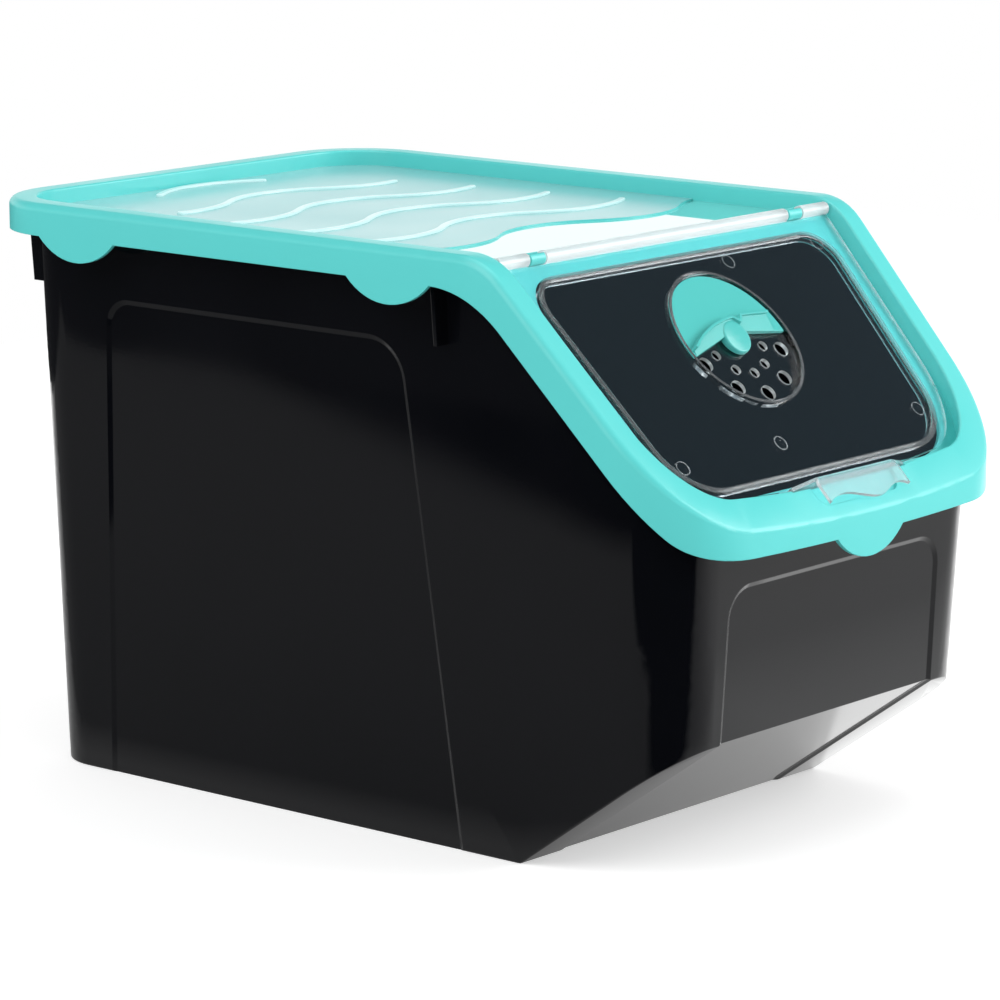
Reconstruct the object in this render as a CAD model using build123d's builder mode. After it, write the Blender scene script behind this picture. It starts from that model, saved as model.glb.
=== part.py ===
"""Produce storage bin: a tapered bin with a bent lid, a see-through hatch and a turning vent shutter.

Millimetres. +Z is up, the floor is at z = 0, the nose with the hatch points along -Y and the rear
along +Y. The bin is the same left and right of x = 0. The lid's top is level at the rear, bends at
the knee and slopes down to the nose. Depths are measured square to that bent top, down from its
crest, and runs are measured down the slope from the knee.
"""
import math
import os

from build123d import *

# Overall size of the lid, which is the widest part
LID_WIDTH = 246.0
REAR_Y = 194.5
NOSE_Y = -195.5
HEIGHT = 250.5

# The bent top of the lid
SLANT = math.radians(46.1)
KNEE_Y = -93.2
KNEE_RADIUS = 29.4
REAR_CORNER = 40.0
NOSE_CORNER = 46.0
NOSE_TAPER = 10.0
NOSE_BOW = 6.0
TAPER_ROUND = 150.0

# Lid shell
LID_WALL = 2.0
CREST_ROUND = 3.5
RIM_WIDTH = 12.0
RIM_INNER_ROUND = 1.0
PANEL_DEPTH = 7.0
PANEL_STEP = 0.8
LEDGE_DEPTH = 8.3

# Skirt of the lid, with its round grip tabs
SKIRT_DROP = 13.8
SKIRT_KNEE_RADIUS = 50.0
SKIRT_NOSE_DROP = 9.3
SKIRT_NOSE_RADIUS = 36.0
TAB_WIDTH = 44.0
TAB_DROP = 9.6
SIDE_TABS_Y = (131.0, -44.4)

# Raised waves on the level panel
WAVE_LENGTH = 122.0
WAVE_HEIGHT = 9.0
WAVE_PITCH = 41.0
WAVE_FIRST_Y = 6.0
STEP_WAVE_Y = -25.5
RIB_WIDTH = 3.2
RIB_HEIGHT = 1.0
RIB_ROUND = 0.6
RIB_HALF_LENGTHS = (88.0, 83.0, 78.0, 69.5, 33.5)

# Hinge of the hatch, a bar with two thin necks that snap into clips
AXIS_RUN = 1.15
AXIS_DEPTH = 5.8
BAR_RADIUS = 2.9
BAR_CLEARANCE = 0.5
NECK_RADIUS = 1.9
NECK_INSETS = (42.5, 31.7)
PIN_CLEARANCE = 0.05
CLIP_SIDE_GAP = 0.9
CLIP_WALL = 0.9
CLIP_MOUTH = 3.2
CLIP_CLEARANCE = 0.35

# Hatch plate
HATCH_GAP = 1.3
HATCH_THICKNESS = 1.8
HATCH_DEPTH = 6.2
WINDOW_TOP_INSET = 25.0
WINDOW_BOTTOM_INSET = 34.5
WINDOW_TOP_RUN = 13.0
WINDOW_NOSE_GAP = 10.2
WINDOW_TOP_CORNER = 14.0
WINDOW_BOTTOM_CORNER = 27.0
BEAD_WIDTH = 2.4
BEAD_HEIGHT = 0.5
FRAME_WALL = 1.4
FRAME_DROP = 3.0
MOUTH_MARGIN = 1.6
MOUTH_NOSE_MARGIN = 3.0

# Latch tab of the hatch, on its riser
LATCH_WIDTH = 54.0
LATCH_THICKNESS = 1.5
LATCH_RISE = 5.0
LATCH_LENGTH = 12.6
LATCH_CORNER = 4.0
LATCH_BEND = 1.2
LATCH_DIP = 1.9
LATCH_WAVES = (-0.4, 0.25, 0.74)
RISER_WIDTH = 76.0
RISER_WALL = 1.6
RISER_SETBACK = 0.6
RISER_GAP = 0.6
SCOOP_DEPTH = 1.2
SCOOP_LENGTH = 11.5
SCOOP_CORNER = 6.0
NOTCH_DEPTH = 2.6

# Vent in the hatch and its turning shutter
VENT_RUN = 54.3
VENT_RADIUS = 34.0
VENT_WALL = 1.5
VENT_PROUD = 0.6
VENT_FLOOR_DEPTH = 8.4
VENT_FLOOR_THICKNESS = 1.6
VENT_SPOKES = 5
VENT_FIRST_ANGLE = -162.0
VENT_SPREAD = 144.0
VENT_HOLE_LARGE = 7.0
VENT_HOLE_SMALL = 4.6
VENT_CIRCLE_LARGE = 26.8
VENT_CIRCLE_SMALL = 16.5
SHUTTER_GAP = 0.5
SHUTTER_LIFT = 0.2
SHUTTER_THICKNESS = 1.5
SHUTTER_APEX = 2.8
SHUTTER_SWEEP = math.radians(10.6)
SHUTTER_TURN = 3.5
HUB_RADIUS = 7.5
HUB_HEIGHT = 2.4
HUB_FRONT_HEIGHT = 0.6
HUB_EDGE = 0.8
GRIP_HEIGHT = 2.4
GRIP_LEFT = 30.0
GRIP_RIGHT = 26.0
GRIP_BACK = 8.3
GRIP_LEFT_BACK = 6.0
GRIP_RIGHT_BACK = 6.2
GRIP_DIP = 3.0
RIDGE_WIDTH = 1.2
RIDGE_RISE = 0.9
PIVOT_RADIUS = 4.0
PIVOT_LIP = 0.8
PIVOT_LIP_HEIGHT = 1.0

# Bin body
FOOT_SIDE_INSET = 22.2
SIDE_DRAFT = math.radians(1.5)
FOOT_FRONT_INSET = 23.4
FRONT_DRAFT = math.radians(3.3)
FOOT_REAR_INSET = 17.7
REAR_DRAFT = math.radians(1.5)
BODY_CORNER = 25.0
BODY_WALL = 2.5
BODY_FLOOR = 3.0
CHAMFER_FLOOR_Y = -95.3
CHAMFER_TOP_Z = 57.0
CHAMFER_EDGE_ROUND = 3.0
FOOT_ROUND = 1.0

# Rim flange of the body under the lid, and the fins under the flange
FLANGE_DEPTH = 11.7
FLANGE_THICKNESS = 2.0
FLANGE_GAP = 0.6
FLANGE_SILL_DROP = 3.0
SILL_CLEARANCE = 1.0
FIN_THICKNESS = 2.0
FIN_REACH = 8.5
FIN_TAPER = 2.4
FIN_LENGTH = 26.0
SIDE_FIN_Y = -61.6
REAR_FIN_INSET = 33.0

# Seal between the lid and the flange, held on a rib of the lid
SEAL_INSET = 5.6
SEAL_WIDTH = 4.0
SEAL_TOP_DEPTH = 8.0
SEAL_GAP = 0.3
SEAL_RIB_WALL = 2.0
SEAL_RIB_BITE = 2.0

# Sunken panels on the body's walls
PANEL_SINK = 1.0
PANEL_BEVEL = 2.0
SIDE_PANEL_TOP_DROP = 42.0
SIDE_PANEL_REAR = (135.0, 128.0)
SIDE_PANEL_FRONT = (-66.5, -35.0)
SIDE_PANEL_CORNERS = (11.0, 18.0)
FRONT_PANEL_INSETS = (50.0, 51.7, 53.0)
FRONT_PANEL_TOP_DROP = 24.7
FRONT_PANEL_CORNER = 12.0

MARGIN = 12.0
HALF_WIDTH = LID_WIDTH / 2
DOWN = Vector(0, -math.cos(SLANT), -math.sin(SLANT))
OUT = Vector(0, -math.sin(SLANT), math.cos(SLANT))
KNEE = Vector(0, KNEE_Y, HEIGHT)
AXIS = KNEE + DOWN * AXIS_RUN - OUT * AXIS_DEPTH
VENT = KNEE + DOWN * VENT_RUN
PANEL_Z = HEIGHT - PANEL_DEPTH
POLISHED_Z = PANEL_Z - PANEL_STEP
NOSE_Z = HEIGHT - (KNEE_Y - NOSE_Y) * math.tan(SLANT)
SKIRT_NOSE_Z = NOSE_Z - SKIRT_NOSE_DROP
FLANGE_SILL_Z = NOSE_Z - FLANGE_SILL_DROP
RECESS_HALF = HALF_WIDTH - RIM_WIDTH
RIM_RUN = (KNEE_Y - NOSE_Y - RIM_WIDTH) / math.cos(SLANT)
RISER_RUN = RIM_RUN - RISER_SETBACK
WINDOW_BOTTOM_RUN = RIM_RUN - WINDOW_NOSE_GAP
FOOT_HALF_WIDTH = HALF_WIDTH - FOOT_SIDE_INSET
FOOT_FRONT_Y = NOSE_Y + FOOT_FRONT_INSET
FOOT_REAR_Y = REAR_Y - FOOT_REAR_INSET


def slope_plane(depth):
    """Plane of the slope at a depth: its x is the bin's, its y points up the slope."""
    return Plane(origin=KNEE - OUT * depth, x_dir=(1, 0, 0), z_dir=OUT)


def vent_plane(depth):
    """Plane of the slope at a depth, centred on the vent."""
    return Plane(origin=VENT - OUT * depth, x_dir=(1, 0, 0), z_dir=OUT)


def shutter_plane(depth):
    """Plane of the slope at a depth, centred on the vent and turned with the shutter."""
    turn = math.radians(SHUTTER_TURN)
    x_dir = Vector(math.cos(turn), 0, 0) - DOWN * math.sin(turn)
    return Plane(origin=VENT - OUT * depth, x_dir=x_dir, z_dir=OUT)


def lid_plan(inset):
    """Outline of the lid from above, drawn in by an inset."""
    corner_y = NOSE_Y + NOSE_BOW
    nose_half = HALF_WIDTH - NOSE_TAPER
    with BuildSketch(mode=Mode.PRIVATE) as plan:
        with BuildLine():
            Polyline(
                (nose_half, corner_y),
                (HALF_WIDTH, KNEE_Y),
                (HALF_WIDTH, REAR_Y),
                (-HALF_WIDTH, REAR_Y),
                (-HALF_WIDTH, KNEE_Y),
                (-nose_half, corner_y),
            )
            ThreePointArc((-nose_half, corner_y), (0, NOSE_Y), (nose_half, corner_y))
        make_face()
        fillet(plan.vertices().group_by(Axis.Y)[1], TAPER_ROUND)
        fillet(plan.vertices().group_by(Axis.Y)[0], NOSE_CORNER)
        fillet(plan.vertices().group_by(Axis.Y)[-1], REAR_CORNER)
        if inset > 0:
            offset(amount=-inset)
    return plan.sketch


def bent_line(depth):
    """Point where the bent top's two straight lines meet, at a depth under the crest."""
    return KNEE_Y + depth * math.tan(SLANT / 2), HEIGHT - depth


def slope_y(depth, z):
    """Place along Y where the slope at a depth passes a height."""
    knee_y, knee_z = bent_line(depth)
    return knee_y - (knee_z - z) / math.tan(SLANT)


def beneath(depth, sill=None):
    """Side view of all that lies under the bent top at a depth; a sill turns it level at the nose."""
    toe_z = SKIRT_NOSE_Z - 2 * MARGIN if sill is None else sill
    toe_y = slope_y(depth, toe_z)
    front_y = min(toe_y, NOSE_Y) - MARGIN
    knee = bent_line(depth)
    with BuildSketch(Plane.YZ, mode=Mode.PRIVATE) as region:
        with BuildLine():
            Polyline(
                (REAR_Y + MARGIN, -MARGIN),
                (REAR_Y + MARGIN, HEIGHT - depth),
                knee,
                (toe_y, toe_z),
                (front_y, toe_z),
                (front_y, -MARGIN),
                close=True,
            )
        make_face()
        fillet(region.vertices().sort_by_distance(Vector(*knee))[0], KNEE_RADIUS - depth)
    return region.sketch


def bent_block(inset, top, bottom=None, top_sill=None, bottom_sill=None):
    """Solid inside the lid's outline at an inset, between two depths under the bent top."""
    with BuildPart(mode=Mode.PRIVATE) as block:
        extrude(lid_plan(inset), amount=HEIGHT + MARGIN)
        extrude(beneath(top, top_sill), amount=LID_WIDTH, both=True, mode=Mode.INTERSECT)
        if bottom is not None:
            extrude(beneath(bottom, bottom_sill), amount=LID_WIDTH, both=True, mode=Mode.SUBTRACT)
    return block.part


def bent_ring(inset, width, top, bottom, top_sill=None, bottom_sill=None):
    """Ring of a width along the lid's outline, between two depths under the bent top."""
    with BuildPart(mode=Mode.PRIVATE) as ring:
        add(bent_block(inset, top, bottom, top_sill, bottom_sill))
        extrude(lid_plan(inset + width), amount=HEIGHT + MARGIN, mode=Mode.SUBTRACT)
    return ring.part


def crest_z(y):
    """Height of the lid's bent top over a point."""
    bend_start = KNEE_Y + KNEE_RADIUS * math.tan(SLANT / 2)
    if y >= bend_start:
        return HEIGHT
    if y <= bend_start - KNEE_RADIUS * math.sin(SLANT):
        return HEIGHT - (KNEE_Y - y) * math.tan(SLANT)
    return HEIGHT - KNEE_RADIUS + math.sqrt(KNEE_RADIUS**2 - (y - bend_start) ** 2)


def crest_edges(part, inset):
    """Edges of a part that follow the lid's outline at an inset along its bent top."""
    near = 0.2
    outline = lid_plan(inset).faces()[0].outer_wire()
    found = ShapeList()
    for edge in part.edges():
        middle = edge @ 0.5
        on_outline = outline.distance_to(Vector(middle.X, middle.Y, 0)) < near
        if on_outline and abs(middle.Z - crest_z(middle.Y)) < near:
            found.append(edge)
    return found


def wave_rise(x):
    """Rise of the wave at x: round crests and troughs that meet at the quarters."""
    quarter = WAVE_LENGTH / 4
    radius = (quarter**2 + WAVE_HEIGHT**2) / (2 * WAVE_HEIGHT)
    turn = round(x / (2 * quarter))
    rise = WAVE_HEIGHT - radius + math.sqrt(radius**2 - (x - turn * 2 * quarter) ** 2)
    return rise if turn % 2 == 0 else -rise


def wave_arcs(half_length, base_y):
    """Arcs of one wave line across the level panel, for the line builder that is open."""
    quarter = WAVE_LENGTH / 4
    meetings = [n * quarter for n in range(-9, 10, 2) if abs(n * quarter) < half_length]
    stops = [-half_length] + meetings + [half_length]
    for start, end in zip(stops, stops[1:]):
        between = (start + end) / 2
        ThreePointArc(
            (start, base_y + wave_rise(start)),
            (between, base_y + wave_rise(between)),
            (end, base_y + wave_rise(end)),
        )


def wave_rib(half_length, base_y):
    """One raised wave rib with rounded ends and a rounded top."""
    with BuildPart(mode=Mode.PRIVATE) as rib:
        with BuildSketch(Plane.XY.offset(PANEL_Z)):
            with BuildLine():
                wave_arcs(half_length, base_y)
                offset(amount=RIB_WIDTH / 2)
            make_face()
        extrude(amount=RIB_HEIGHT)
        fillet(rib.faces().sort_by(Axis.Z)[-1].edges(), RIB_ROUND)
    return rib.part


def grip_tab(centre, edge_z):
    """Centre and radius of the round grip tab that hangs under an edge of the skirt."""
    radius = (TAB_WIDTH**2 / 4 + TAB_DROP**2) / (2 * TAB_DROP)
    return (centre, edge_z - TAB_DROP + radius), radius


def window_outline(grow, lengthen=0):
    """Outline of the hatch's window in the slope's own plane, grown all round, lengthened at the nose."""
    half_top = HALF_WIDTH - WINDOW_TOP_INSET
    half_bottom = HALF_WIDTH - WINDOW_BOTTOM_INSET
    bottom_run = WINDOW_BOTTOM_RUN + lengthen
    with BuildSketch(mode=Mode.PRIVATE) as outline:
        with BuildLine():
            Polyline(
                (-half_top, -WINDOW_TOP_RUN),
                (half_top, -WINDOW_TOP_RUN),
                (half_bottom, -bottom_run),
                (-half_bottom, -bottom_run),
                close=True,
            )
        make_face()
        fillet(outline.vertices().group_by(Axis.Y)[-1], WINDOW_TOP_CORNER)
        fillet(outline.vertices().group_by(Axis.Y)[0], WINDOW_BOTTOM_CORNER)
        if grow > 0:
            offset(amount=grow)
    return outline.sketch


def on_axis(radius):
    """Circle round the hinge axis, in the plane from which it is extruded along X."""
    with Locations((AXIS.Y, AXIS.Z)):
        Circle(radius)


def body_block(inset, floor_z):
    """The bin's drafted block, drawn in by an inset all round and cut at its sloped lower front."""
    with BuildPart(mode=Mode.PRIVATE) as block:
        for z in (floor_z, HEIGHT):
            half = FOOT_HALF_WIDTH + z * math.tan(SIDE_DRAFT) - inset
            front = FOOT_FRONT_Y - z * math.tan(FRONT_DRAFT) + inset
            rear = FOOT_REAR_Y + z * math.tan(REAR_DRAFT) - inset
            with BuildSketch(Plane.XY.offset(z)):
                with Locations((0, (front + rear) / 2)):
                    RectangleRounded(2 * half, rear - front, BODY_CORNER - inset)
        loft(ruled=True)
        top_y = FOOT_FRONT_Y - CHAMFER_TOP_Z * math.tan(FRONT_DRAFT)
        pitch = math.atan2(CHAMFER_TOP_Z, CHAMFER_FLOOR_Y - top_y)
        shift_y = inset * math.sin(pitch) + math.cos(pitch) * 2 * MARGIN
        shift_z = inset * math.cos(pitch) - math.sin(pitch) * 2 * MARGIN
        low = (CHAMFER_FLOOR_Y + shift_y, shift_z)
        shift_y = inset * math.sin(pitch) - math.cos(pitch) * 2 * MARGIN
        shift_z = inset * math.cos(pitch) + math.sin(pitch) * 2 * MARGIN
        high = (top_y + shift_y, CHAMFER_TOP_Z + shift_z)
        with BuildSketch(Plane.YZ):
            with BuildLine():
                Polyline(low, high, (high[0], low[1]), close=True)
            make_face()
        extrude(amount=LID_WIDTH, both=True, mode=Mode.SUBTRACT)
    return block.part


def panel_cutter(surface, corners, rounds):
    """Tool that sinks a bevelled panel under a surface plane; rounds are (corner, radius) pairs."""
    with BuildPart(mode=Mode.PRIVATE) as cutter:
        for depth, grow in ((PANEL_SINK, 0), (-PANEL_SINK, 2 * PANEL_BEVEL)):
            with BuildSketch(surface.offset(-depth)) as outline:
                with BuildLine():
                    Polyline(*corners, close=True)
                make_face()
                for corner, radius in rounds:
                    fillet(outline.vertices().sort_by_distance(Vector(*corner))[0], radius)
                if grow > 0:
                    offset(amount=grow, kind=Kind.INTERSECTION)
        loft(ruled=True)
    return cutter.part


# Zone that the skirt may fill: all above its lower edge, with the round tabs
low_knee_y, low_knee_z = bent_line(SKIRT_DROP)
low_toe_y = slope_y(SKIRT_DROP, SKIRT_NOSE_Z)
with BuildPart() as skirt_zone:
    with BuildSketch(Plane.YZ) as side_view:
        with BuildLine():
            Polyline(
                (REAR_Y + MARGIN, HEIGHT + MARGIN),
                (REAR_Y + MARGIN, low_knee_z),
                (low_knee_y, low_knee_z),
                (low_toe_y, SKIRT_NOSE_Z),
                (NOSE_Y - 2 * MARGIN, SKIRT_NOSE_Z),
                (NOSE_Y - 2 * MARGIN, HEIGHT + MARGIN),
                close=True,
            )
        make_face()
        low_knee = Vector(low_knee_y, low_knee_z)
        low_toe = Vector(low_toe_y, SKIRT_NOSE_Z)
        fillet(side_view.vertices().sort_by_distance(low_knee)[0], SKIRT_KNEE_RADIUS)
        fillet(side_view.vertices().sort_by_distance(low_toe)[0], SKIRT_NOSE_RADIUS)
        for tab_y in SIDE_TABS_Y:
            place, tab_radius = grip_tab(tab_y, low_knee_z)
            with Locations(place):
                Circle(tab_radius)
    extrude(amount=LID_WIDTH, both=True)
    with BuildSketch(Plane.XZ.offset(-NOSE_Y - 2 * MARGIN)):
        place, tab_radius = grip_tab(0, SKIRT_NOSE_Z)
        with Locations(place):
            Circle(tab_radius)
    extrude(amount=3 * MARGIN)

# Tool that sinks the top of the lid inside its rim
floor_break_y = slope_y(LEDGE_DEPTH, POLISHED_Z)
ledge_toe_y = slope_y(LEDGE_DEPTH, SKIRT_NOSE_Z)
with BuildPart() as sunk_top:
    extrude(lid_plan(RIM_WIDTH), amount=HEIGHT + MARGIN)
    with BuildSketch(Plane.YZ):
        with BuildLine():
            Polyline(
                (REAR_Y, POLISHED_Z),
                (floor_break_y, POLISHED_Z),
                (ledge_toe_y, SKIRT_NOSE_Z),
                (ledge_toe_y, HEIGHT + MARGIN),
                (REAR_Y, HEIGHT + MARGIN),
                close=True,
            )
        make_face()
    extrude(amount=LID_WIDTH, both=True, mode=Mode.INTERSECT)

# Hollow under the lid, which leaves the rim, the sunk top and what backs the trough and the scoop
under_z = POLISHED_Z - LID_WALL
under_low_z = FLANGE_SILL_Z + SILL_CLEARANCE
with BuildPart() as sunk_backing:
    extrude(lid_plan(RIM_WIDTH - LID_WALL), amount=HEIGHT + MARGIN)
    with BuildSketch(Plane.YZ):
        with BuildLine():
            Polyline(
                (REAR_Y, under_z),
                (slope_y(LEDGE_DEPTH + LID_WALL, under_z), under_z),
                (slope_y(LEDGE_DEPTH + LID_WALL, under_low_z), under_low_z),
                (NOSE_Y, under_low_z),
                (NOSE_Y, HEIGHT + MARGIN),
                (REAR_Y, HEIGHT + MARGIN),
                close=True,
            )
        make_face()
    extrude(amount=LID_WIDTH, both=True, mode=Mode.INTERSECT)

scoop_half = RISER_WIDTH / 2 + RISER_GAP
notch_end = RISER_RUN + RISER_WALL + RISER_GAP
with BuildPart() as lid_hollow:
    add(bent_block(LID_WALL, LID_WALL))
    add(sunk_backing.part, mode=Mode.SUBTRACT)
    with BuildSketch(Plane.YZ):
        on_axis(BAR_RADIUS + BAR_CLEARANCE + LID_WALL)
    extrude(amount=RECESS_HALF, both=True, mode=Mode.SUBTRACT)
    with BuildSketch(slope_plane(0)):
        with Locations((0, -RISER_RUN - SCOOP_LENGTH / 2)):
            Rectangle(2 * (scoop_half + LID_WALL), SCOOP_LENGTH + 2 * LID_WALL)
    extrude(amount=-(SCOOP_DEPTH + LID_WALL), mode=Mode.SUBTRACT)

# Rib of the lid that holds the seal; its sill follows the flange's sill at the nose
seal_bottom_depth = FLANGE_DEPTH - SEAL_GAP
rib_depth = SEAL_TOP_DEPTH + SEAL_RIB_BITE
seal_rib = bent_ring(
    SEAL_INSET + (SEAL_WIDTH - SEAL_RIB_WALL) / 2,
    SEAL_RIB_WALL,
    LID_WALL / 2,
    rib_depth,
    bottom_sill=FLANGE_SILL_Z + FLANGE_DEPTH - rib_depth,
)

neck_inner = HALF_WIDTH - NECK_INSETS[0]
neck_outer = HALF_WIDTH - NECK_INSETS[1]
clip_inner = neck_inner + CLIP_SIDE_GAP
clip_outer = neck_outer - CLIP_SIDE_GAP
clip_radius = NECK_RADIUS + PIN_CLEARANCE + CLIP_WALL

with BuildPart() as lid:
    add(bent_block(0, 0))
    add(skirt_zone.part, mode=Mode.INTERSECT)
    fillet(crest_edges(lid.part, 0), CREST_ROUND)
    add(sunk_top.part, mode=Mode.SUBTRACT)
    fillet(crest_edges(lid.part, RIM_WIDTH), RIM_INNER_ROUND)
    add(lid_hollow.part, mode=Mode.SUBTRACT)
    add(seal_rib)
    # Frosted panel behind the wave step, and its raised wave ribs
    with BuildSketch(Plane.XY.offset(POLISHED_Z)):
        with BuildLine():
            wave_arcs(HALF_WIDTH, STEP_WAVE_Y)
            end_y = STEP_WAVE_Y + wave_rise(HALF_WIDTH)
            Polyline((HALF_WIDTH, end_y), (HALF_WIDTH, REAR_Y), (-HALF_WIDTH, REAR_Y), (-HALF_WIDTH, end_y))
        make_face()
        add(lid_plan(RIM_WIDTH - LID_WALL / 2), mode=Mode.INTERSECT)
    extrude(amount=PANEL_STEP)
    for i, half_length in enumerate(RIB_HALF_LENGTHS):
        add(wave_rib(half_length, WAVE_FIRST_Y + i * WAVE_PITCH))
    # Trough under the hinge bar, left solid under the clips
    for start, end in ((-RECESS_HALF, -clip_outer), (-clip_inner, clip_inner), (clip_outer, RECESS_HALF)):
        with BuildSketch(Plane.YZ.offset(start)):
            on_axis(BAR_RADIUS + BAR_CLEARANCE)
        extrude(amount=end - start, mode=Mode.SUBTRACT)
    # Clips round the necks of the bar, open at the top, each on a foot at its rear
    for start in (-clip_outer, clip_inner):
        with BuildSketch(Plane.YZ.offset(start)):
            on_axis(clip_radius)
            with Locations((AXIS.Y + clip_radius / 2, AXIS.Z - clip_radius)):
                Rectangle(clip_radius, clip_radius)
            with Locations((AXIS.Y, AXIS.Z)):
                Circle(NECK_RADIUS + PIN_CLEARANCE, mode=Mode.SUBTRACT)
            with Locations((AXIS.Y, AXIS.Z + clip_radius)):
                Rectangle(CLIP_MOUTH, 2 * clip_radius, mode=Mode.SUBTRACT)
        extrude(amount=clip_outer - clip_inner)
    # Mouth under the hatch, and the finger scoop under the latch tab
    with BuildSketch(slope_plane(LEDGE_DEPTH - LID_WALL)):
        add(window_outline(FRAME_WALL + MOUTH_MARGIN, MOUTH_NOSE_MARGIN))
    extrude(amount=-3 * LID_WALL, mode=Mode.SUBTRACT)
    with BuildSketch(slope_plane(0)) as scoop:
        with Locations((0, -RISER_RUN - SCOOP_LENGTH / 2)):
            Rectangle(LATCH_WIDTH, SCOOP_LENGTH)
        fillet(scoop.vertices().sort_by(Axis.Y)[:2], SCOOP_CORNER)
    extrude(amount=-SCOOP_DEPTH, mode=Mode.SUBTRACT)
    # Notch of the rim behind the riser
    with BuildSketch(slope_plane(0)):
        with Locations((0, -(RISER_RUN + notch_end) / 2)):
            Rectangle(2 * scoop_half, notch_end - RISER_RUN)
    extrude(amount=-NOTCH_DEPTH, mode=Mode.SUBTRACT)
lid.part.label = "lid"

with BuildPart() as lid_seal:
    add(
        bent_ring(
            SEAL_INSET,
            SEAL_WIDTH,
            SEAL_TOP_DEPTH,
            seal_bottom_depth,
            top_sill=FLANGE_SILL_Z + FLANGE_DEPTH - SEAL_TOP_DEPTH,
            bottom_sill=FLANGE_SILL_Z + SEAL_GAP,
        )
    )
    add(seal_rib, mode=Mode.SUBTRACT)
lid_seal.part.label = "lid_seal"


def hatch_slab(top, bottom):
    """Slab with the hatch's outline between two depths, from the hinge axis down to the nose."""
    with BuildPart(mode=Mode.PRIVATE) as column:
        extrude(lid_plan(RIM_WIDTH + HATCH_GAP), amount=HEIGHT + MARGIN)
    crest = section(column.part, section_by=slope_plane(0)).faces()[0]
    with BuildPart(mode=Mode.PRIVATE) as slab:
        extrude(crest.moved(Location(-OUT * bottom)), amount=bottom - top, dir=OUT)
        split(bisect_by=Plane(origin=AXIS, z_dir=DOWN), keep=Keep.TOP)
    return slab.part


def latch_points(back_run, end_run):
    """Corners of the latch tab and of its wavy end, as slope coordinates."""
    half = LATCH_WIDTH / 2
    dip_left, lobe, dip_right = LATCH_WAVES
    return [
        (-half, -back_run),
        (-half, -end_run),
        (half * dip_left, -end_run + LATCH_DIP),
        (half * lobe, -end_run - LATCH_DIP),
        (half * dip_right, -end_run + LATCH_DIP),
        (half, -end_run),
        (half, -back_run),
    ]


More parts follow.
